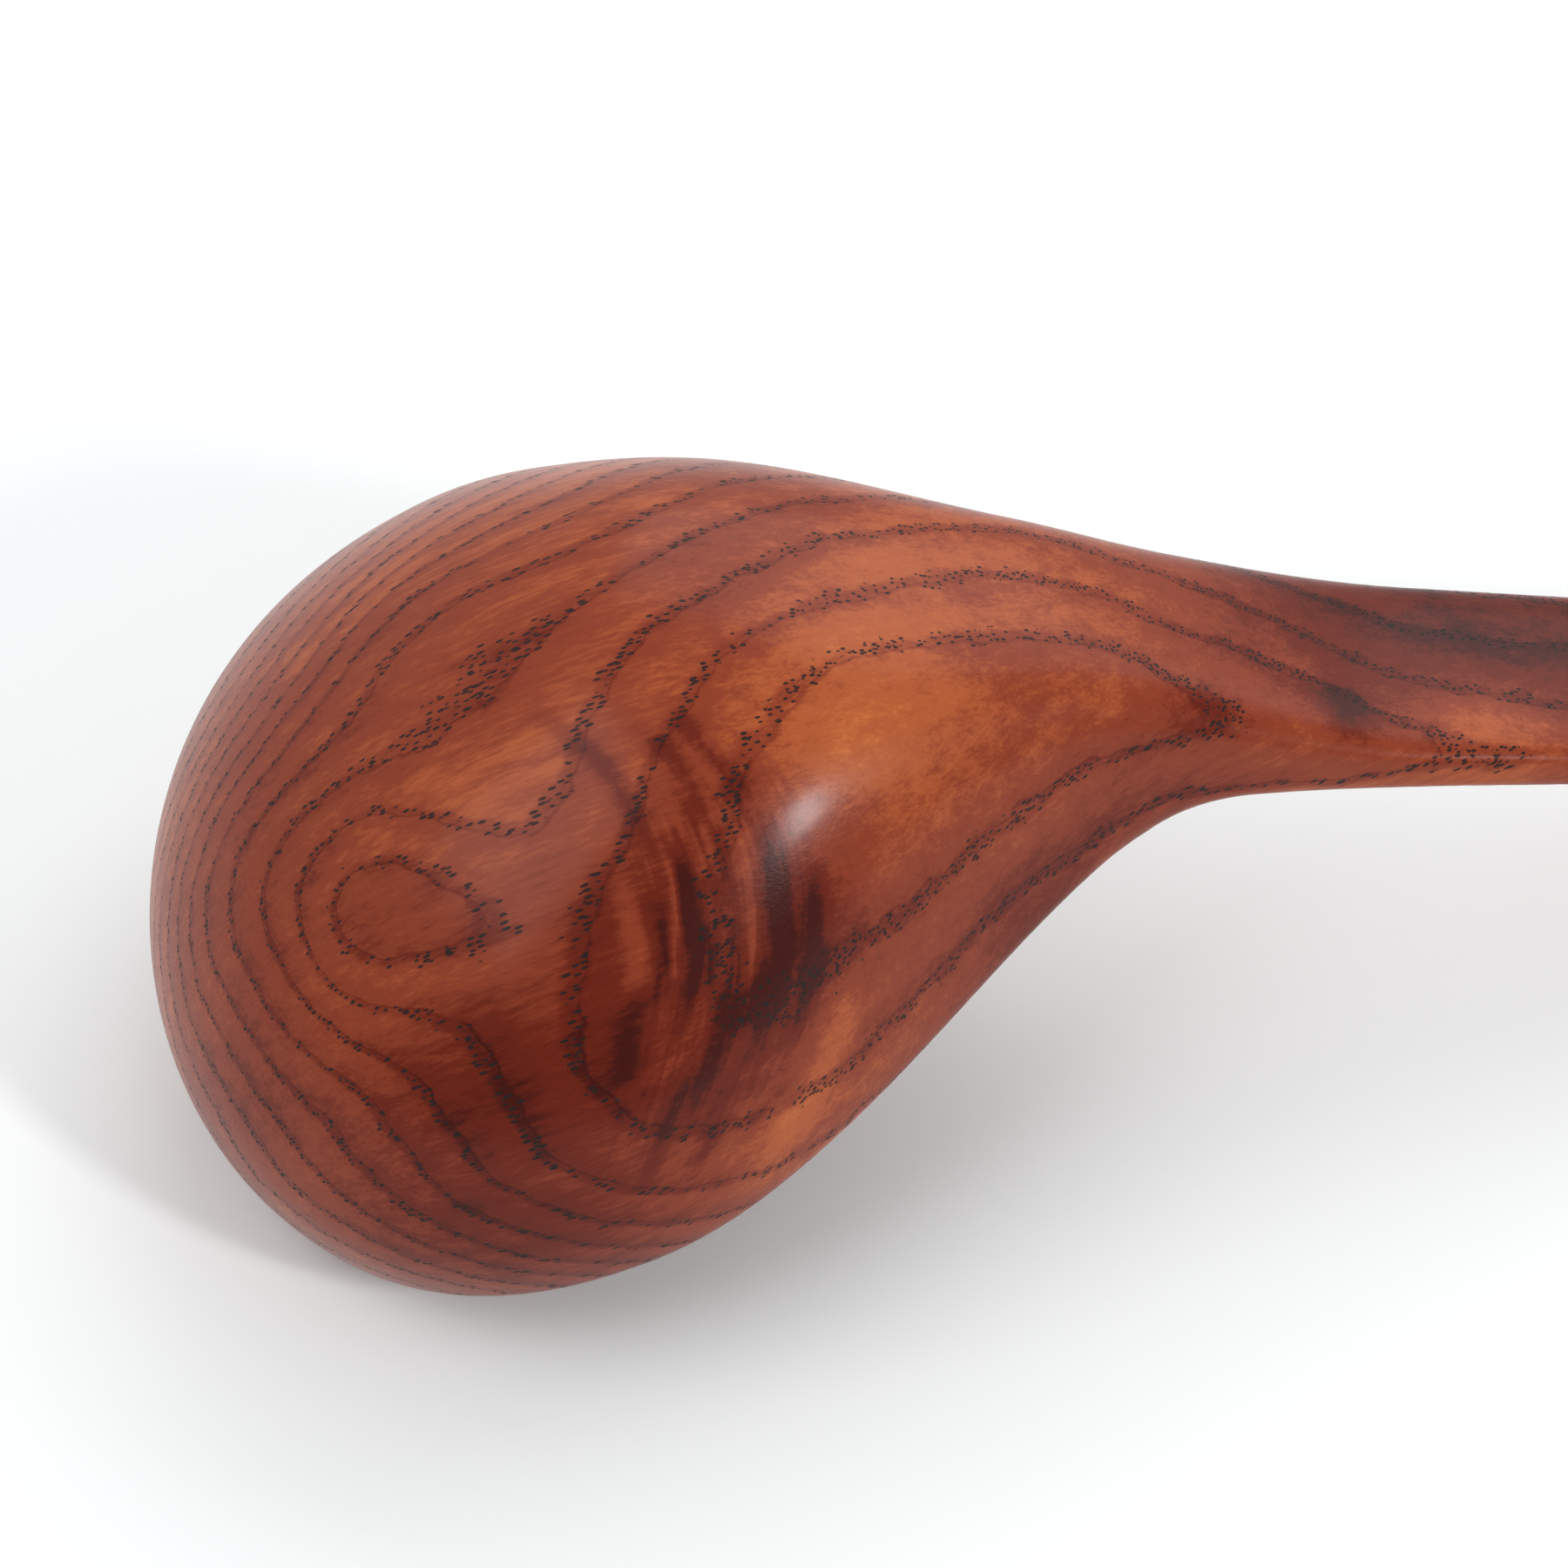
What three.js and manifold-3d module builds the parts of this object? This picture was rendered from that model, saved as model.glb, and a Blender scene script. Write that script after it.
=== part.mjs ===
// Deep wooden ladle, carved from one billet and lying mouth down.
//
// Working axes while shaping, in mm: X runs from the front lip toward the handle,
// Y goes across the bowl, and Z = 0 is the plane of the mouth with the rounded back
// of the bowl above it. The finished group is then tipped to the pose in which the
// ladle rests on a table: on its front lip and on the end of its handle.

import * as THREE from 'three';
import { ParametricGeometry } from 'three/addons/geometries/ParametricGeometry.js';
import { mergeVertices } from 'three/addons/utils/BufferGeometryUtils.js';
import Module from 'manifold-3d';

// ---- driving dimensions (mm) ----

const BOWL_HALF_WIDTH = 35;
const WIDEST_X = 33;            // distance of the widest section behind the front lip
const PLAN_POWER = 2.28;        // fullness of the front of the bowl seen from above
const GIRTH_HEIGHT = 7.5;       // height of the bowl's widest line over the mouth plane
const UNDERCUT = 27;            // how fast the side tucks in below that line
const CROWN_HEIGHT = 36.6;      // top of the bowl's back over the mouth plane
const CROWN_X = 45.5;
const CROWN_FALL = 58.5;        // length over which the back falls to the neck
const SHOULDER = 55.2;          // length over which the bowl narrows to the neck

const NECK_HALF_WIDTH = 10.2;
const NECK_THICKNESS = 7.1;
const THINNING_LENGTH = 35;     // length over which the neck thins to the handle
const NECK_SQUARENESS = 3.8;    // superellipse power of the neck's section
const SQUARED_FROM_X = 44;      // the bowl's oval section starts turning square here
const SQUARED_OVER = 45;
const WAIST_HALF_WIDTH = 8.15;
const WAIST_LENGTH = 60;

const HANDLE_SLOPE = Math.tan( THREE.MathUtils.degToRad( 34.5 ) );
const HANDLE_CURL = 0.0005;     // 1/mm, lifts the handle's far half a little
const ELBOW_SOFTNESS = 10;
const HANDLE_HALF_WIDTH = 10.5;
const HANDLE_THICKNESS = 5.7;
const HANDLE_END_X = 224;
const END_ROUNDING = 10;        // plan rounding of the handle's end
const END_EDGE = 4;             // rounding of the handle's end through its thickness

const HOLLOW_FRONT_X = 4.6;
const HOLLOW_DEEPEST_X = 40;
const HOLLOW_REAR_X = 69;
const LIP_WIDTH = 3.2;
const BOTTOM_WALL = 5;
const HOLLOW_REAR_ROUNDING = 16;
const HOLLOW_SQUARENESS = 2.3;

const NECK_START_X = 84;        // saw planes that part the model into three nodes
const HANDLE_START_X = 124;
const JOINT_GAP = 0.3;

const OUTER_STATIONS = 64;
const OUTER_FACETS = 40;
const FRONT_SHARE = 0.25;       // share of the stations ahead of the widest section
const END_SHARE = 0.1;          // share of the stations on the handle's rounded end
const HOLLOW_STATIONS = 26;
const HOLLOW_FACETS = 40;

// ---- outline laws ----

const ELBOW_X = WIDEST_X + 0.8 * SHOULDER;   // where the handle leaves the mouth plane

// 1 at t = 0, easing down to 0 at t = 1.
function easeDown( t ) {

	return 0.5 * ( 1 + Math.cos( Math.PI * THREE.MathUtils.clamp( t, 0, 1 ) ) );

}

// A quarter of an ellipse of the given power: 0 at t = 0, rising to 1 at t = 1.
function quarter( t, power = 2 ) {

	const rest = 1 - THREE.MathUtils.clamp( t, 0, 1 );
	return Math.sqrt( Math.max( 0, 1 - Math.pow( rest, power ) ) );

}

function bowlShare( x ) {

	return easeDown( ( x - WIDEST_X ) / SHOULDER );

}

// Height of the handle's underside; it is the mouth plane itself along the bowl.
function undersideHeight( x ) {

	const beyond = Math.max( 0, x - ELBOW_X );
	const run = Math.sqrt( beyond * beyond + ELBOW_SOFTNESS * ELBOW_SOFTNESS ) - ELBOW_SOFTNESS;
	return - run * HANDLE_SLOPE + HANDLE_CURL * run * run;

}

// Rounds the handle's end off over the given length.
function endCap( x, rounding ) {

	return quarter( ( HANDLE_END_X - x ) / rounding );

}

function handleThickness( x ) {

	const neckEnd = WIDEST_X + SHOULDER;
	const along = THREE.MathUtils.smoothstep( x, neckEnd, neckEnd + THINNING_LENGTH );
	return THREE.MathUtils.lerp( NECK_THICKNESS, HANDLE_THICKNESS, along );

}

function halfWidth( x ) {

	if ( x < WIDEST_X ) return BOWL_HALF_WIDTH * quarter( x / WIDEST_X, PLAN_POWER );

	const neckEnd = WIDEST_X + SHOULDER;
	const waist = THREE.MathUtils.clamp( ( x - neckEnd ) / WAIST_LENGTH, 0, 1 );
	const grip = THREE.MathUtils.smoothstep( x, neckEnd + WAIST_LENGTH / 2, HANDLE_END_X - END_ROUNDING );
	const neck = THREE.MathUtils.lerp( NECK_HALF_WIDTH, WAIST_HALF_WIDTH, waist )
		+ ( HANDLE_HALF_WIDTH - WAIST_HALF_WIDTH ) * grip;
	return ( neck + ( BOWL_HALF_WIDTH - neck ) * bowlShare( x ) ) * endCap( x, END_ROUNDING );

}

// Height of the widest line of the section: low on the bowl, mid-thickness on the handle.
function girthHeight( x ) {

	return THREE.MathUtils.lerp( undersideHeight( x ) + handleThickness( x ) / 2, GIRTH_HEIGHT, bowlShare( x ) );

}

// How far the lower half of the section would reach below that line.
function undercut( x ) {

	if ( x < WIDEST_X ) return UNDERCUT * quarter( x / WIDEST_X );
	return THREE.MathUtils.lerp( handleThickness( x ) / 2, UNDERCUT, bowlShare( x ) );

}

// Power of the superellipse section: 2 is an ellipse, more is squarer.
function squareness( x ) {

	return THREE.MathUtils.lerp( NECK_SQUARENESS, 2, easeDown( ( x - SQUARED_FROM_X ) / SQUARED_OVER ) );

}

// Half the width of the bowl's outside at the mouth plane.
function rimHalfWidth( x ) {

	const power = squareness( x );
	const tuck = Math.min( 1, girthHeight( x ) / undercut( x ) );
	return halfWidth( x ) * Math.pow( 1 - Math.pow( tuck, power ), 1 / power );

}

function backHeight( x ) {

	if ( x < CROWN_X ) return GIRTH_HEIGHT + ( CROWN_HEIGHT - GIRTH_HEIGHT ) * quarter( x / CROWN_X );

	const neckTop = undersideHeight( x ) + handleThickness( x );
	const fall = easeDown( ( x - CROWN_X ) / CROWN_FALL );
	return neckTop + ( CROWN_HEIGHT - NECK_THICKNESS ) * fall;

}

// ---- outer form: superellipse sections from the front lip to the handle's end ----

function sectionPoint( x, angle, target ) {

	const power = 2 / squareness( x );
	const girth = girthHeight( x );
	const c = Math.cos( angle );
	const s = Math.sin( angle );
	const reach = ( s > 0 ? backHeight( x ) - girth : - undercut( x ) ) * endCap( x, END_EDGE );
	const y = halfWidth( x ) * Math.sign( c ) * Math.pow( Math.abs( c ), power );
	return target.set( x, y, girth + reach * Math.pow( Math.abs( s ), power ) );

}

// Stations crowd toward both rounded ends, where the section changes fastest.
function stationX( u ) {

	const endStart = HANDLE_END_X - END_ROUNDING;
	const quarterTurn = Math.PI / 2;
	if ( u < FRONT_SHARE ) return WIDEST_X * ( 1 - Math.cos( u / FRONT_SHARE * quarterTurn ) );
	if ( u > 1 - END_SHARE ) {

		return endStart + END_ROUNDING * Math.sin( ( u - 1 + END_SHARE ) / END_SHARE * quarterTurn );

	}

	return THREE.MathUtils.mapLinear( u, FRONT_SHARE, 1 - END_SHARE, WIDEST_X, endStart );

}

function outerForm() {

	return new ParametricGeometry( ( u, v, target ) => {

		return sectionPoint( stationX( u ), - v * 2 * Math.PI, target );

	}, OUTER_STATIONS, OUTER_FACETS );

}

// ---- hollow: an egg-shaped cut, full round, so half of it lies below the mouth plane ----

function hollowHalfWidth( x ) {

	const front = ( x - HOLLOW_FRONT_X ) / ( WIDEST_X - HOLLOW_FRONT_X );
	if ( x < WIDEST_X ) return ( rimHalfWidth( WIDEST_X ) - LIP_WIDTH ) * quarter( front, PLAN_POWER );
	return ( rimHalfWidth( x ) - LIP_WIDTH ) * quarter( ( HOLLOW_REAR_X - x ) / HOLLOW_REAR_ROUNDING );

}

function hollowDepth( x ) {

	const depth = CROWN_HEIGHT - BOTTOM_WALL;
	const front = ( x - HOLLOW_FRONT_X ) / ( HOLLOW_DEEPEST_X - HOLLOW_FRONT_X );
	const rear = ( HOLLOW_REAR_X - x ) / ( HOLLOW_REAR_X - HOLLOW_DEEPEST_X );
	return depth * quarter( Math.min( front, rear ) );

}

function hollowForm() {

	const power = 2 / HOLLOW_SQUARENESS;
	return new ParametricGeometry( ( u, v, target ) => {

		const x = THREE.MathUtils.lerp( HOLLOW_FRONT_X, HOLLOW_REAR_X, easeDown( 1 - u ) );
		const c = Math.cos( - v * 2 * Math.PI );
		const s = Math.sin( - v * 2 * Math.PI );
		const y = hollowHalfWidth( x ) * Math.sign( c ) * Math.pow( Math.abs( c ), power );
		const z = hollowDepth( x ) * Math.sign( s ) * Math.pow( Math.abs( s ), power );
		return target.set( x, y, z );

	}, HOLLOW_STATIONS, HOLLOW_FACETS );

}

// ---- mouth cut: everything under the mouth plane, and behind it under the handle ----

function mouthCut() {

	const below = - 60;
	const across = 4 * BOWL_HALF_WIDTH;
	const profile = new THREE.Shape();
	profile.moveTo( - 10, below );
	profile.lineTo( NECK_START_X, below );
	profile.lineTo( NECK_START_X, undersideHeight( NECK_START_X ) );
	for ( let x = NECK_START_X - 2; x > ELBOW_X - 2; x -= 2 ) profile.lineTo( x, undersideHeight( x ) );
	profile.lineTo( - 10, 0 );
	const cut = new THREE.ExtrudeGeometry( profile, { depth: across, bevelEnabled: false, steps: 1 } );
	cut.translate( 0, 0, - across / 2 );
	return cut.rotateX( Math.PI / 2 );

}

// ---- joining and cutting ----

const wasm = await Module();
wasm.setup();

// A closed geometry as a solid, without the flat triangles at its poles.
function solid( geometry ) {

	geometry.deleteAttribute( 'normal' );
	geometry.deleteAttribute( 'uv' );
	const merged = mergeVertices( geometry );
	const index = merged.index.array;
	const corners = [];
	for ( let i = 0; i < index.length; i += 3 ) {

		const [ a, b, c ] = index.slice( i, i + 3 );
		if ( a !== b && b !== c && c !== a ) corners.push( a, b, c );

	}

	const vertProperties = new Float32Array( merged.attributes.position.array );
	const triVerts = new Uint32Array( corners );
	return new wasm.Manifold( new wasm.Mesh( { numProp: 3, vertProperties, triVerts } ) );

}

// The slice of a solid between two saw planes square to X.
function between( body, fromX, toX ) {

	const side = 300;
	const block = new THREE.BoxGeometry( toX - fromX, side, side );
	block.translate( ( fromX + toX ) / 2, 0, 0 );
	return body.intersect( solid( block ) );

}

function named( name, body, material ) {

	const { vertProperties, triVerts } = body.getMesh();
	const geometry = new THREE.BufferGeometry();
	geometry.setAttribute( 'position', new THREE.BufferAttribute( vertProperties, 3 ) );
	geometry.setIndex( new THREE.BufferAttribute( triVerts, 1 ) );
	geometry.computeVertexNormals();
	const mesh = new THREE.Mesh( geometry, material );
	mesh.name = name;
	return mesh;

}

function lacqueredWood( color ) {

	return new THREE.MeshStandardMaterial( { color, roughness: 0.32, metalness: 0 } );

}

const carved = solid( outerForm() ).subtract( solid( mouthCut() ) ).subtract( solid( hollowForm() ) );
const halfGap = JOINT_GAP / 2;
const bowl = between( carved, - 10, NECK_START_X - halfGap );
const neck = between( carved, NECK_START_X + halfGap, HANDLE_START_X - halfGap );
const handle = between( carved, HANDLE_START_X + halfGap, HANDLE_END_X + 10 );

// ---- resting pose: front lip and handle end on the table ----

// The steepest line from the front lip down to the underside of the handle.
function restingTilt() {

	let tilt = 0;
	for ( let x = NECK_START_X; x < HANDLE_END_X - END_EDGE; x += 1 ) {

		tilt = Math.max( tilt, Math.atan2( - undersideHeight( x ), x ) );

	}

	return tilt;

}

const ladle = new THREE.Group();
ladle.add( named( 'bowl', bowl, lacqueredWood( 0xa9673a ) ) );
ladle.add( named( 'neck', neck, lacqueredWood( 0x8f4e31 ) ) );
ladle.add( named( 'handle', handle, lacqueredWood( 0x9a5a36 ) ) );
ladle.rotation.y = - restingTilt();
ladle.updateMatrixWorld( true );

// The origin is the middle of the footprint, on the table.
const reach = new THREE.Box3().setFromObject( ladle, true );
ladle.position.set( - ( reach.min.x + reach.max.x ) / 2, 0, - reach.min.z );

const group = new THREE.Group();
group.add( ladle );

export default group;
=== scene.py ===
import math

import bpy
import numpy as np
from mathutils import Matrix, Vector


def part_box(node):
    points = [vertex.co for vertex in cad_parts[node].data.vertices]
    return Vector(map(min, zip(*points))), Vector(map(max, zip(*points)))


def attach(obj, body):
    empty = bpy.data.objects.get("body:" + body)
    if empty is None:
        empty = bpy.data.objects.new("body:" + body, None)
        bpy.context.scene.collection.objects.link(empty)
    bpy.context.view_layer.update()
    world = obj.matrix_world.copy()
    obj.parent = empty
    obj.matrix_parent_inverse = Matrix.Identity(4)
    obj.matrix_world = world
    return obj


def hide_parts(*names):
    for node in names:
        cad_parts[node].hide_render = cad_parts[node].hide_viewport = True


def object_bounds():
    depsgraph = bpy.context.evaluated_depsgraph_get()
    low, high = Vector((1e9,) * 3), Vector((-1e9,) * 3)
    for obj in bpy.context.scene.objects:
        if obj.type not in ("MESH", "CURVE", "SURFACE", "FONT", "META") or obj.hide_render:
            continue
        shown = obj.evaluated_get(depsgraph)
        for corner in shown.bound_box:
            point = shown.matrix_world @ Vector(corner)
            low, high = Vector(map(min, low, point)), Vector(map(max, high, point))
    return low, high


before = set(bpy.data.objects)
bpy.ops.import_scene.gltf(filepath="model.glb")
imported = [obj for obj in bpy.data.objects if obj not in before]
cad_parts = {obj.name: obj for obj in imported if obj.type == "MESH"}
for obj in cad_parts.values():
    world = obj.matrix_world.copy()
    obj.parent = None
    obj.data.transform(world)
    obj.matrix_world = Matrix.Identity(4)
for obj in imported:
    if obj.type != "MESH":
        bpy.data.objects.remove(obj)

cad_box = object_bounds()

# ---- Ladle ----
# One billet of ring-porous hardwood, sawn out, hollowed with a hook knife and drawn down to a squared
# neck and a flat handle, then sanded, stained red-brown and lacquered. Nothing is joined to it. It lies
# mouth down, on its front lip and the underside of its handle's end.

# Sizes in mm, in the billet's own axes: x runs from the front lip toward the handle's end, and z up from
# the plane of the mouth to the back of the bowl. The outside is a run of superellipse sections.
bowl_half_width = 35.0
widest_x = 33.0
plan_power = 2.28
girth_at = 7.5
tuck_under = 27.0
crown_height = 36.6
crown_x = 45.5
crown_fall = 58.5
shoulder = 55.2
neck_half_width = 10.2
waist_half_width = 8.15
waist_length = 60.0
neck_thickness = 7.1
thinning_length = 35.0
neck_squareness = 3.8
squared_from = 44.0
squared_over = 45.0
handle_slope = math.tan(math.radians(34.5))
handle_curl = 0.0005
elbow_softness = 10.0
elbow_share = 0.8
elbow_x = widest_x + elbow_share * shoulder
handle_from = 84.0
handle_end = 224.0
handle_half_width = 10.5
handle_thickness = 5.7
end_rounding = 10.0
end_edge = 4.0


def ease_down(t):
    """1 at t = 0, easing to 0 at t = 1."""
    return 0.5 * (1 + np.cos(np.pi * np.clip(t, 0, 1)))


def quarter(t, power=2.0):
    """A quarter of an ellipse: 0 at t = 0, rising to 1 at t = 1."""
    return np.sqrt(np.maximum(0, 1 - (1 - np.clip(t, 0, 1)) ** power))


def smooth_step(x, low, high):
    t = np.clip((x - low) / (high - low), 0, 1)
    return t * t * (3 - 2 * t)


def bowl_share(x):
    return ease_down((x - widest_x) / shoulder)


def underside(x):
    beyond = np.maximum(0, x - elbow_x)
    run = np.sqrt(beyond**2 + elbow_softness**2) - elbow_softness
    return -run * handle_slope + handle_curl * run**2


def thickness(x):
    neck_end = widest_x + shoulder
    along = smooth_step(x, neck_end, neck_end + thinning_length)
    return neck_thickness + (handle_thickness - neck_thickness) * along


def half_width(x):
    neck_end = widest_x + shoulder
    waist = np.clip((x - neck_end) / waist_length, 0, 1)
    flare = smooth_step(x, neck_end + waist_length / 2, handle_end - end_rounding)
    neck = neck_half_width + (waist_half_width - neck_half_width) * waist
    neck = neck + (handle_half_width - waist_half_width) * flare
    rear = neck + (bowl_half_width - neck) * bowl_share(x)
    return np.where(x < widest_x, bowl_half_width * quarter(x / widest_x, plan_power), rear)


def girth(x):
    share = bowl_share(x)
    return (underside(x) + thickness(x) / 2) * (1 - share) + girth_at * share


def tuck(x):
    share = bowl_share(x)
    rear = thickness(x) / 2 * (1 - share) + tuck_under * share
    return np.where(x < widest_x, tuck_under * quarter(x / widest_x), rear)


def squareness(x):
    return neck_squareness + (2 - neck_squareness) * ease_down((x - squared_from) / squared_over)


def back(x):
    front = girth_at + (crown_height - girth_at) * quarter(x / crown_x)
    fall = ease_down((x - crown_x) / crown_fall)
    rear = underside(x) + thickness(x) + (crown_height - neck_thickness) * fall
    return np.where(x < crown_x, front, rear)


def rounded_section(across, up, half, reach, a, b, power):
    """A superellipse section, drawn in by sqrt(a) across and sqrt(b) upward: below 0 inside it.

    It is multiplied out, so that it stays smooth where a and b go through 0 at a rounded end."""
    pa = np.abs(a) ** (power / 2)
    pb = np.abs(b) ** (power / 2)
    sides = (np.abs(across) / half) ** power * pb + (np.abs(up) / reach) ** power * pa
    return (sides - np.sign(a) * pa * pb) / (pa + pb + 1e-9)


def outside(p):
    """Below 0 inside the uncut blank, 0 on its skin."""
    x, y, z = p[:, 0], p[:, 1], p[:, 2]
    above = z > girth(x)
    nose = 1 - np.minimum(x, widest_x) / widest_x
    plan = 1 - np.abs(nose) ** plan_power
    brow = 1 - np.minimum(x, crown_x) / crown_x
    profile = np.where(above, 1 - brow**2, 1 - nose**2)
    height = np.where(above, crown_height - girth_at, tuck_under)
    front = rounded_section(y, z - girth_at, bowl_half_width, height, plan, profile, 2.0)
    xr = np.clip(x, widest_x, handle_end)
    reach = np.where(above, back(xr) - girth(xr), tuck(xr))
    end = np.maximum(0, x - handle_end + end_rounding) / end_rounding
    edge = np.maximum(0, x - handle_end + end_edge) / end_edge
    rear = rounded_section(y, z - girth(xr), half_width(xr), reach,
                           1 - end**2, 1 - edge**2, squareness(xr))
    return np.where(x < widest_x, front, rear)


mouth_drop = 6.0
drop_ahead = 2.0
drop_length = 14.0


def mouth_plane(p):
    """Below 0 above the plane of the mouth; behind the elbow it drops clear of the handle."""
    drop = mouth_drop * (1 - ease_down((p[:, 0] - elbow_x + drop_ahead) / drop_length))
    return underside(p[:, 0]) - drop - p[:, 2]


hollow_front = 4.6
hollow_deepest = 40.0
hollow_rear = 69.0
lip_width = 3.2
bottom_wall = 5.0
rear_rounding = 16.0
hollow_squareness = 2.3


def rim_half_width(x):
    """Half the bowl's width where its skin meets the plane of the mouth."""
    power = squareness(x)
    drawn_in = np.minimum(1, girth(x) / np.maximum(tuck(x), 1e-6)) ** power
    return half_width(x) * (1 - drawn_in) ** (1 / power)


def hollow(p):
    """Above 0 inside the hollow, below 0 in the wood around it."""
    x, y, z = p[:, 0], p[:, 1], p[:, 2]
    widest = rim_half_width(np.full(1, widest_x))[0]
    behind = rim_half_width(np.clip(x, widest_x, hollow_rear))
    across = np.where(x < widest_x, widest, behind) - lip_width
    nose = 1 - (x - hollow_front) / (widest_x - hollow_front)
    tail = np.maximum(0, 1 - (hollow_rear - x) / rear_rounding)
    plan = np.where(x < widest_x, 1 - np.abs(nose) ** plan_power, 1 - tail**2)
    dip = np.where(x < hollow_deepest, (hollow_deepest - x) / (hollow_deepest - hollow_front),
                   (x - hollow_deepest) / (hollow_rear - hollow_deepest))
    depth = crown_height - bottom_wall
    return -rounded_section(y, z, across, depth, plan, 1 - dip**2, hollow_squareness)


def slope_of(field, p, step):
    """The field's slope along x, y and z, by differences over the step."""
    slope = np.zeros_like(p)
    for axis in range(3):
        shift = np.zeros(3)
        shift[axis] = step
        slope[:, axis] = (field(p + shift) - field(p - shift)) / (2 * step)
    return slope


fine_step = 0.02


def distance(field, p):
    """The field as a distance in mm, by its slope."""
    slope = slope_of(field, p, fine_step)
    return field(p) / np.maximum(np.linalg.norm(slope, axis=1), 1e-4)


def rounded_max(a, b, rounding):
    overlap = np.maximum(rounding - np.abs(a - b), 0) / rounding
    return np.maximum(a, b) + overlap**2 * rounding / 4


lip_rounding = 1.8
sanded_off = 0.06


def carved(p):
    """Distance in mm to the finished surface, below 0 in the wood."""
    cut = rounded_max(distance(outside, p), mouth_plane(p), lip_rounding)
    return rounded_max(cut, distance(hollow, p), lip_rounding) + sanded_off


# Resting on its front lip and the underside of its handle's end tips the mouth's plane.
handle_run = np.arange(handle_from, handle_end - end_edge, 1.0)
rest_tilt = float(np.max(np.arctan2(-underside(handle_run), handle_run)))
tipped = np.array([[math.cos(rest_tilt), 0, -math.sin(rest_tilt)],
                   [0, 1, 0],
                   [math.sin(rest_tilt), 0, math.cos(rest_tilt)]])


def skin_points():
    """Points on the middle line of the back and the underside, to find how far the ladle reaches."""
    x = np.linspace(0, handle_end, 4000)
    edge = quarter((handle_end - x) / end_edge)
    top = girth(x) + (back(x) - girth(x)) * edge
    mouth = np.where(x < handle_from, underside(x), -np.inf)
    low = np.maximum(girth(x) - tuck(x) * edge, mouth)
    heights = np.concatenate([top, low])
    along = np.concatenate([x, x])
    return np.stack([along, np.zeros_like(along), heights], axis=1) @ tipped.T


reach = skin_points()
moved = np.array([cad_box[0][0] * 1000 - reach[:, 0].min(), 0, -reach[:, 2].min()])


def to_world(p):
    return (p @ tipped.T + moved) / 1000


def to_billet(p):
    return (p * 1000 - moved) @ tipped


def node_mesh(node, stretch):
    """The node's corners and faces, drawn out lengthwise about its own middle."""
    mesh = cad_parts[node].data
    points = np.empty(len(mesh.vertices) * 3)
    mesh.vertices.foreach_get("co", points)
    points = points.reshape(-1, 3)
    middle = (points.min(axis=0) + points.max(axis=0)) / 2
    points[:, 0] = middle[0] + (points[:, 0] - middle[0]) * stretch
    return points, [tuple(face.vertices) for face in mesh.polygons]


# The neck is drawn out a little, so that it overlaps the bowl and the handle and the three close up.
neck_overlap = 1.03
all_points = []
all_faces = []
for node, stretch in (("bowl", 1.0), ("neck", neck_overlap), ("handle", 1.0)):
    points, faces = node_mesh(node, stretch)
    start = sum(len(block) for block in all_points)
    all_points.append(points)
    all_faces += [tuple(start + corner for corner in face) for face in faces]
rough = bpy.data.meshes.new("rough_ladle")
rough.from_pydata(np.concatenate(all_points).tolist(), [], all_faces)
ladle = bpy.data.objects.new("carved_ladle", rough)
bpy.context.scene.collection.objects.link(ladle)

# Merged corners, then an even skin of small quads, each corner of which is drawn onto the carved form.
merged_within = 0.000002
quad_size = 0.0006
weld = ladle.modifiers.new("weld", "WELD")
weld.merge_threshold = merged_within
even = ladle.modifiers.new("even", "REMESH")
even.mode = "VOXEL"
even.voxel_size = quad_size
depsgraph = bpy.context.evaluated_depsgraph_get()
mesh = bpy.data.meshes.new_from_object(ladle.evaluated_get(depsgraph))
ladle.modifiers.clear()
ladle.data = mesh
mesh.name = "carved_ladle"

corners = np.empty(len(mesh.vertices) * 3)
mesh.vertices.foreach_get("co", corners)
billet = to_billet(corners.reshape(-1, 3))
drawing_turns = 8
drawing_step = 0.05
flattest = 0.05
longest_pull = 0.8
for turn in range(drawing_turns):
    slope = slope_of(carved, billet, drawing_step)
    pull = carved(billet) / np.maximum(np.sum(slope**2, axis=1), flattest)
    billet -= np.clip(pull, -longest_pull, longest_pull)[:, None] * slope
mesh.vertices.foreach_set("co", to_world(billet).ravel())
mesh.shade_smooth()
mesh.update()

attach(ladle, "root")
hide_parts("bowl", "neck", "handle")

# The wood: each year's growth starts with a row of wide pores, which show as short black dashes along
# the fibre. The rows follow the growth rings, and swells in the billet bend those into two eyes, one on
# the bowl and one on the shoulder of the neck.
wood = bpy.data.materials.new("lacquered_wood")
wood.use_nodes = True
wood_nodes = wood.node_tree.nodes
wood_nodes.clear()


def add(tree, kind, inputs=(), **settings):
    """A node with the given settings; each input is a socket to link, a number or a vector, or None."""
    node = tree.nodes.new(kind)
    for name, value in settings.items():
        setattr(node, name, value)
    for slot, value in enumerate(inputs):
        if isinstance(value, bpy.types.NodeSocket):
            tree.links.new(value, node.inputs[slot])
        elif value is not None:
            node.inputs[slot].default_value = value
    return node


def maths(tree, operation, *inputs, clamp=False):
    return add(tree, "ShaderNodeMath", inputs, operation=operation, use_clamp=clamp).outputs[0]


def vectors(tree, operation, *inputs):
    node = add(tree, "ShaderNodeVectorMath", inputs, operation=operation)
    gives_number = operation in ("DOT_PRODUCT", "DISTANCE")
    return node.outputs["Value"] if gives_number else node.outputs[0]


def ramp(tree, value, low, high, to_low=0.0, to_high=1.0):
    """Eases from to_low at low to to_high at high."""
    node = add(tree, "ShaderNodeMapRange", (value, low, high, to_low, to_high),
               interpolation_type="SMOOTHSTEP")
    return node.outputs[0]


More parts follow.
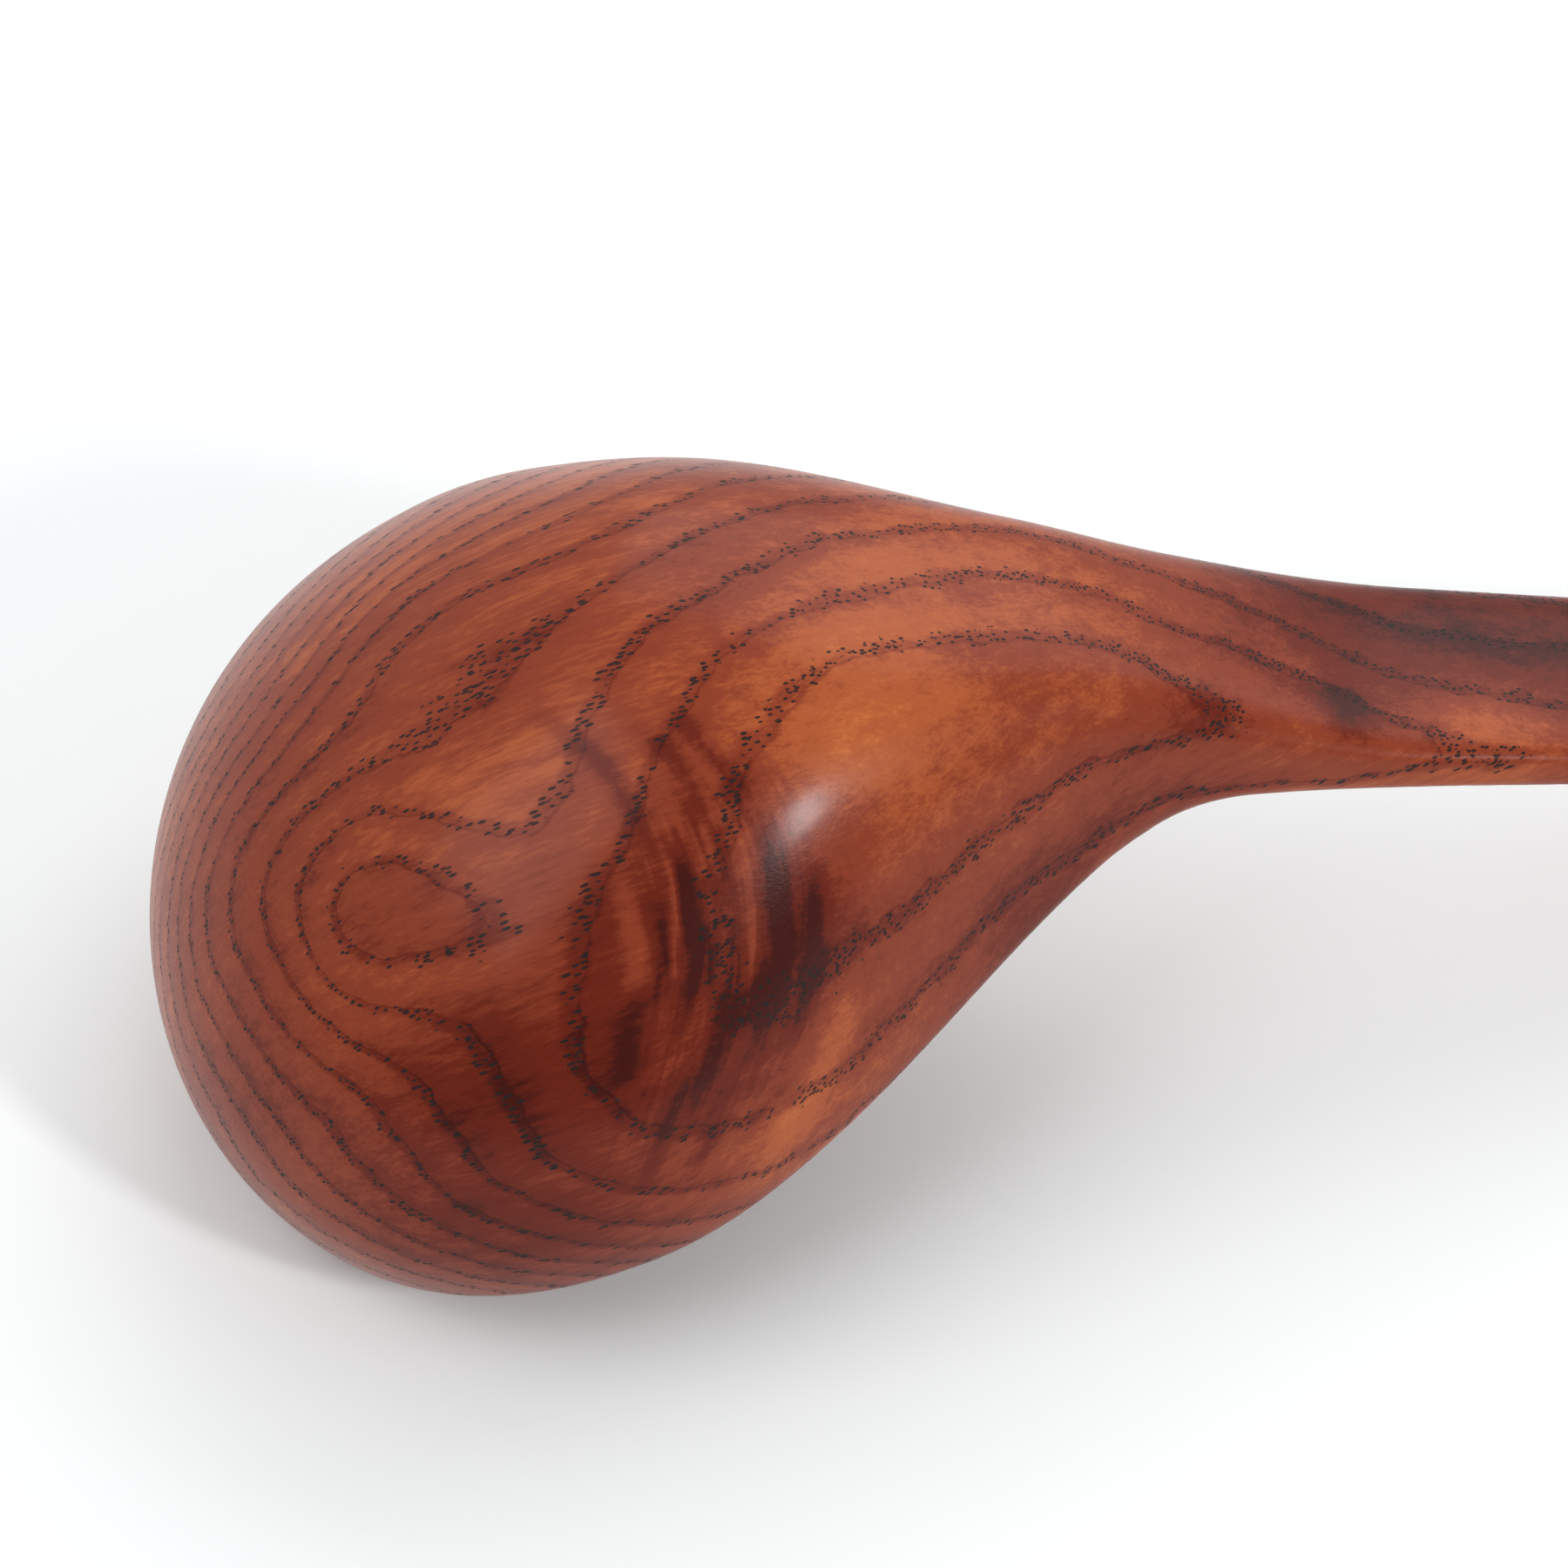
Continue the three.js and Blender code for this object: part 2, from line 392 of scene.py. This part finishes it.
def noise(tree, place, waves, detail, roughness=0.5):
    """Noise with the given number of waves to the mm along x, y and z."""
    place = vectors(tree, "MULTIPLY", place, waves)
    node = add(tree, "ShaderNodeTexNoise", (place,), noise_dimensions="3D")
    node.inputs["Scale"].default_value = 1.0
    node.inputs["Detail"].default_value = detail
    node.inputs["Roughness"].default_value = roughness
    return node.outputs[0]


# Ring count: a slow slope through the billet, plus round swells, each with its place and reach in mm and
# its height in rings, plus a wander, each with its waves to the mm, its detail and its height in rings.
ring_slope = (-0.076, 0.164, -0.177)
ring_start = 10.05
ring_swells = [((7.3, -5.7, 37.3), 11.2, -8.14),
               ((29.3, 5.7, 47.8), 11.3, -6.73),
               ((12.2, -42.0, -14.2), 17.5, 8.62),
               ((22.0, -20.4, 40.6), 7.5, -10.5),
               ((17.1, 3.7, 37.9), 32.1, 7.95),
               ((33.5, -19.8, 30.6), 3.5, -0.40)]
ring_wander = [((0.05, 0.09, 0.09), 1.0, 0.7),
               ((0.35, 0.45, 0.45), 2.0, 0.28)]


def ring_count_group():
    tree = bpy.data.node_groups.new("growth_rings", "ShaderNodeTree")
    tree.interface.new_socket("Place", in_out="INPUT", socket_type="NodeSocketVector")
    tree.interface.new_socket("Rings", in_out="OUTPUT", socket_type="NodeSocketFloat")
    place = tree.nodes.new("NodeGroupInput").outputs[0]
    count = maths(tree, "ADD", vectors(tree, "DOT_PRODUCT", place, ring_slope), ring_start)
    for middle, reach, height in ring_swells:
        away = maths(tree, "DIVIDE", vectors(tree, "DISTANCE", place, middle), reach)
        away_squared = maths(tree, "MULTIPLY", away, away)
        fall = maths(tree, "EXPONENT", maths(tree, "MULTIPLY", away_squared, -0.5))
        count = maths(tree, "MULTIPLY_ADD", fall, height, count)
    for waves, detail, height in ring_wander:
        wander = maths(tree, "SUBTRACT", noise(tree, place, waves, detail), 0.5)
        count = maths(tree, "MULTIPLY_ADD", wander, height, count)
    tree.links.new(count, tree.nodes.new("NodeGroupOutput").inputs[0])
    return tree


growth_rings = ring_count_group()


def ring_share(place):
    """How far through its year's growth the wood is, 0 to 1."""
    group = add(wood.node_tree, "ShaderNodeGroup", node_tree=growth_rings)
    wood.node_tree.links.new(place, group.inputs[0])
    return maths(wood.node_tree, "FRACT", group.outputs[0])


tree = wood.node_tree
place = add(tree, "ShaderNodeAttribute", attribute_name="billet").outputs["Vector"]
# This attribute holds the stain and also the painted sheen and highlight on the shoulder.
tone_share = add(tree, "ShaderNodeAttribute", attribute_name="stain_and_sheen").outputs["Fac"]
curl_share = add(tree, "ShaderNodeAttribute", attribute_name="curl").outputs["Fac"]
curl_place = add(tree, "ShaderNodeAttribute", attribute_name="curl_place").outputs["Vector"]

# Pores: one to each cell of a lattice drawn out along the fibre, kept where its ring has just begun.
pore_lattice = (1.05, 3.2, 3.2)
row_end = (0.12, 0.21)
row_start = (0.95, 0.99)
strays = 0.6
kept_above = 0.98
smallest_pore = 0.31
pore_spread = 0.14
pore_rim = (-0.02, 0.07)
cells = add(tree, "ShaderNodeTexVoronoi", (vectors(tree, "MULTIPLY", place, pore_lattice),),
            voronoi_dimensions="3D", feature="F1")
cells.inputs["Scale"].default_value = 1.0
cell_chance = add(tree, "ShaderNodeSeparateColor", (cells.outputs["Color"],)).outputs[0]
pore_middle = vectors(tree, "DIVIDE", cells.outputs["Position"], pore_lattice)
pore_ring = ring_share(pore_middle)
in_row = maths(tree, "MAXIMUM",
               ramp(tree, pore_ring, *row_end, 1.0, 0.0), ramp(tree, pore_ring, *row_start))
likely = maths(tree, "ADD", in_row, maths(tree, "MULTIPLY", cell_chance, strays))
kept = maths(tree, "GREATER_THAN", likely, kept_above)
pore_size = maths(tree, "MULTIPLY_ADD", cell_chance, pore_spread, smallest_pore)
pore_edge = maths(tree, "SUBTRACT", pore_size, cells.outputs["Distance"])
pore = maths(tree, "MULTIPLY", ramp(tree, pore_edge, *pore_rim), kept)

# Depth of colour: how far the stain took, with a painted sheen and a painted highlight on the shoulder,
# slow clouding, streaks and fine fibre, the waves of the curl, and the darker wood along the pore rows
# and at the end of each year's growth.
share = ring_share(place)
tint_end = (0.06, 0.22)
tint_start = (0.93, 1.0)
late_growth = (0.45, 1.0)
row_tint = maths(tree, "MAXIMUM",
                 ramp(tree, share, *tint_end, 1.0, 0.0), ramp(tree, share, *tint_start))
late_tint = ramp(tree, share, *late_growth)
cloud = noise(tree, place, (0.035, 0.08, 0.08), detail=3.0, roughness=0.6)
streak = noise(tree, place, (0.09, 0.9, 0.9), detail=3.0, roughness=0.65)
fibre = noise(tree, place, (0.45, 3.4, 3.4), detail=3.0, roughness=0.75)
curl_wave = noise(tree, curl_place, (1.5, 0.14, 0.0), detail=1.0)
ripple = maths(tree, "MULTIPLY", maths(tree, "SUBTRACT", curl_wave, 0.5), curl_share)
ripple_depth = 0.55
row_depth = 0.16
late_depth = 0.10

tone = tone_share
for layer, layer_depth in ((cloud, 0.55), (streak, 0.35), (fibre, 0.36)):
    tone = maths(tree, "MULTIPLY_ADD", maths(tree, "SUBTRACT", layer, 0.5), layer_depth, tone)
tone = maths(tree, "MULTIPLY_ADD", ripple, ripple_depth, tone)
tone = maths(tree, "MULTIPLY_ADD", row_tint, row_depth, tone)
tone = maths(tree, "MULTIPLY_ADD", late_tint, late_depth, tone, clamp=True)

stain_and_sheen = add(tree, "ShaderNodeValToRGB", (tone,))
stain_and_sheen.color_ramp.interpolation = "EASE"
stain_steps = [(0.0, (0.60, 0.18, 0.045)),
               (0.3, (0.39, 0.087, 0.026)),
               (0.52, (0.235, 0.038, 0.014)),
               (0.76, (0.13, 0.013, 0.004)),
               (1.0, (0.05, 0.004, 0.002))]
pore_colour = (0.012, 0.009, 0.009)
pore_cover = 0.93
stain_and_sheen.color_ramp.elements.remove(stain_and_sheen.color_ramp.elements[1])
stain_and_sheen.color_ramp.elements[0].color = (*stain_steps[0][1], 1)
for step, colour in stain_steps[1:]:
    stain_and_sheen.color_ramp.elements.new(step).color = (*colour, 1)
coloured = add(tree, "ShaderNodeMix", data_type="RGBA")
tree.links.new(maths(tree, "MULTIPLY", pore, pore_cover), coloured.inputs[0])
tree.links.new(stain_and_sheen.outputs[0], coloured.inputs[6])
coloured.inputs[7].default_value = (*pore_colour, 1)

# Lacquer: it sinks into the open pores and lets the fibre be felt.
fibre_relief = 0.05
pore_relief = -0.12
lacquer_roughness = 0.24
fibre_roughness = 0.12
pore_roughness = 0.25
relief = maths(tree, "MULTIPLY_ADD", fibre, fibre_relief, maths(tree, "MULTIPLY", pore, pore_relief))
bump = add(tree, "ShaderNodeBump")
bump.inputs["Strength"].default_value = 0.6
bump.inputs["Distance"].default_value = 0.001
tree.links.new(relief, bump.inputs["Height"])
roughness = maths(tree, "MULTIPLY_ADD", fibre, fibre_roughness,
                  maths(tree, "MULTIPLY_ADD", pore, pore_roughness, lacquer_roughness))
bsdf = add(tree, "ShaderNodeBsdfPrincipled")
tree.links.new(coloured.outputs[2], bsdf.inputs["Base Color"])
tree.links.new(roughness, bsdf.inputs["Roughness"])
tree.links.new(bump.outputs[0], bsdf.inputs["Normal"])
bsdf.inputs["IOR"].default_value = 1.4
bsdf.inputs["Specular IOR Level"].default_value = 0.15
bsdf.inputs["Coat Weight"].default_value = 0.15
bsdf.inputs["Coat Roughness"].default_value = 0.18
output = add(tree, "ShaderNodeOutputMaterial")
tree.links.new(bsdf.outputs[0], output.inputs[0])
mesh.materials.append(wood)

# Where the stain took deeper (above 0) or stayed light (below 0), and two lighter patches high on the
# shoulder that are painted light, a sheen and a highlight: place and reach in mm, and depth.
stain_level = 0.43
stain_and_sheen_patches = [((50.0, -26.0, 20.0), 8.0, 0.32),
                 ((29.0, -32.0, 17.0), 9.0, 0.34),
                 ((50.0, -2.0, 36.0), 10.0, 0.06),
                 ((14.0, -12.0, 22.0), 10.0, 0.10),
                 # Painted sheen on the shoulder, then a painted highlight just below it: lighter colour,
                 # not stain.
                 ((66.0, -5.0, 26.0), 7.0, -0.14),
                 ((62.0, -14.0, 26.0), 3.5, -0.16),
                 ((47.0, -31.0, 6.0), 6.0, -0.08),
                 ((69.0, -18.0, 2.0), 6.0, 0.22),
                 ((82.0, -10.0, 6.0), 6.0, 0.12),
                 ((97.0, 4.0, 1.0), 5.0, 0.30),
                 ((107.0, 3.0, -7.0), 6.0, 0.45),
                 ((118.0, 2.0, -13.0), 7.0, 0.35),
                 ((107.0, -6.0, -8.0), 3.5, -0.20),
                 ((96.5, -6.0, -0.5), 2.0, 0.40),
                 ((75.0, -9.0, 20.0), 4.5, 0.08)]
# Depth holds the stain and the painted sheen and highlight on the shoulder.
depth = np.full(len(billet), stain_level)
for middle, reach_mm, deeper in stain_and_sheen_patches:
    depth += deeper * np.exp(-np.sum((billet - middle) ** 2, axis=1) / (2 * reach_mm**2))

# Curl: the fibres wave in the saddle between the two eyes, in bars that lean and bow toward the handle.
# Each bar: place along the billet, middle and half length up the side, half width in mm, and depth.
curl_middle = np.array([51.0, -24.5, 23.0])
curl_up = np.array([0.0, 0.78, 0.62])
curl_lean = 0.4
curl_bow = 0.027
curl_x = 50.5
curl_half_width = 6.5
curl_half_height = 13.0
bar_wander = 0.25
curl_bars = [(47.3, 1.5, 6.0, 0.6, 0.40),
             (53.9, -1.5, 7.5, 0.75, 0.48),
             (56.4, -3.0, 5.0, 0.8, 0.34),
             (44.9, 1.0, 3.2, 0.5, 0.28),
             (43.0, -4.5, 3.0, 1.4, 0.28),
             (50.4, -7.5, 3.5, 1.3, 0.30),
             (45.7, 14.0, 6.0, 1.0, 0.30),
             (50.2, 12.0, 4.5, 0.9, 0.28),
             (53.0, 13.0, 4.5, 0.8, 0.26),
             (48.7, -11.5, 3.5, 0.9, 0.24),
             (52.7, -12.0, 3.5, 0.9, 0.24),
             (46.1, 2.0, 4.0, 0.45, -0.26),
             (42.9, 2.5, 4.5, 1.0, -0.22),
             (49.4, 1.0, 5.0, 0.9, -0.22),
             (51.6, 2.0, 6.0, 0.9, -0.30),
             (59.7, -12.0, 6.0, 1.8, -0.22)]
rise = (billet - curl_middle) @ curl_up
along = billet[:, 0] - curl_lean * rise + curl_bow * rise**2
near_side = billet[:, 1] < 0
for bar_place, bar_middle, bar_half_length, bar_half_width, deeper in curl_bars:
    wander = bar_wander * np.sin(0.7 * rise + 3.1 * bar_place)
    across = (along - bar_place - wander) / bar_half_width
    lengthwise = (rise - bar_middle) / bar_half_length
    depth += deeper * np.exp(-(across**2 + lengthwise**4)) * near_side
curl = np.exp(-((along - curl_x) / curl_half_width) ** 4 - (rise / curl_half_height) ** 4) * near_side


def paint(name, kind, values):
    """Keeps a value for each corner of the mesh, for the wood to read."""
    layer = mesh.attributes.new(name, kind, "POINT")
    part = "vector" if kind == "FLOAT_VECTOR" else "value"
    layer.data.foreach_set(part, values.astype(np.float32).ravel())


paint("billet", "FLOAT_VECTOR", billet)
paint("stain_and_sheen", "FLOAT", depth)
paint("curl", "FLOAT", curl)
paint("curl_place", "FLOAT_VECTOR", np.stack([along, rise, np.zeros_like(rise)], axis=1))

# ---- Ground ----
# A seamless sweep of matt white card under the ladle, cut from a wide roll. It lies flat and loose, and
# runs out of sight on every side.
ground_size = 6.0
card_colour = (0.90, 0.93, 0.935)
card_roughness = 0.7
bpy.ops.mesh.primitive_plane_add(size=ground_size, location=(0, 0, 0))
ground = bpy.context.object
ground.name = "white_ground"
card = bpy.data.materials.new("white_card")
card.use_nodes = True
card.node_tree.nodes["Principled BSDF"].inputs["Base Color"].default_value = (*card_colour, 1)
card.node_tree.nodes["Principled BSDF"].inputs["Roughness"].default_value = card_roughness
ground.data.materials.append(card)

# ---- Light ----
# A white room, brighter toward its back wall, with a big soft box above and behind the ladle, a small
# window low on the right and a wide panel high on the left.
brightest_way = (-0.15, 0.95, 0.1)
front_of_room = (-0.7, 0.36)
back_of_room = (0.8, 0.82)
world = bpy.data.worlds.new("soft_room")
world.use_nodes = True
room = world.node_tree
facing = add(room, "ShaderNodeTexCoord").outputs["Generated"]
toward_back = vectors(room, "DOT_PRODUCT", facing, brightest_way)
brightness = ramp(room, toward_back, front_of_room[0], back_of_room[0],
                  front_of_room[1], back_of_room[1])
room.links.new(brightness, room.nodes["Background"].inputs["Strength"])
room.nodes["Background"].inputs["Color"].default_value = (1, 1, 1, 1)
bpy.context.scene.world = world


def soft_box(name, azimuth, height, distance, size, power):
    """A rectangular light aimed at the bowl: azimuth 0 is the near side, 90 the handle's.

    Azimuth and height are in degrees, distance and size in metres, power in watts."""
    way = Vector((math.sin(math.radians(azimuth)) * math.cos(math.radians(height)),
                  -math.cos(math.radians(azimuth)) * math.cos(math.radians(height)),
                  math.sin(math.radians(height))))
    light = bpy.data.lights.new(name, "AREA")
    light.shape = "RECTANGLE"
    light.size, light.size_y = size
    light.energy = power
    lamp = bpy.data.objects.new(name, light)
    lamp.location = bowl_middle + way * distance
    lamp.rotation_euler = (-way).to_track_quat("-Z", "Y").to_euler()
    bpy.context.scene.collection.objects.link(lamp)


bowl_low, bowl_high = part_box("bowl")
bowl_middle = Vector(((bowl_low[0] + bowl_high[0]) / 2, 0, 0.02))
soft_box("back_soft_box", 145, 42, 0.8, (1.0, 0.5), 2.5)
soft_box("right_window", 38, 34, 0.8, (0.075, 0.14), 2.3)
soft_box("left_panel", -72, 55, 0.8, (0.55, 0.45), 1.9)
bpy.context.scene.view_settings.view_transform = "Standard"

# ---- Camera ----
# About 45 cm away with a long lens, above the near side of the bowl and a little toward its front.
view_azimuth = math.radians(-10.082)
view_height = math.radians(49.2)
view_distance = 0.4497
view_angle = math.radians(16.18)
aim_along, aim_across, aim_up = 0.048862, 0.009861, 0.015
view_target = Vector((moved[0] / 1000 + aim_along, aim_across, moved[2] / 1000 + aim_up))
toward = Vector((math.sin(view_azimuth) * math.cos(view_height),
                 -math.cos(view_azimuth) * math.cos(view_height),
                 math.sin(view_height)))
camera = bpy.data.objects.new("camera", bpy.data.cameras.new("camera"))
sensor_width = 36.0
camera.data.sensor_width = sensor_width
camera.data.lens = sensor_width / 2 / math.tan(view_angle / 2)
camera.location = view_target + toward * view_distance
camera.rotation_euler = (-toward).to_track_quat("-Z", "Y").to_euler()
camera.data.clip_start = 0.01
bpy.context.scene.collection.objects.link(camera)
bpy.context.scene.camera = camera
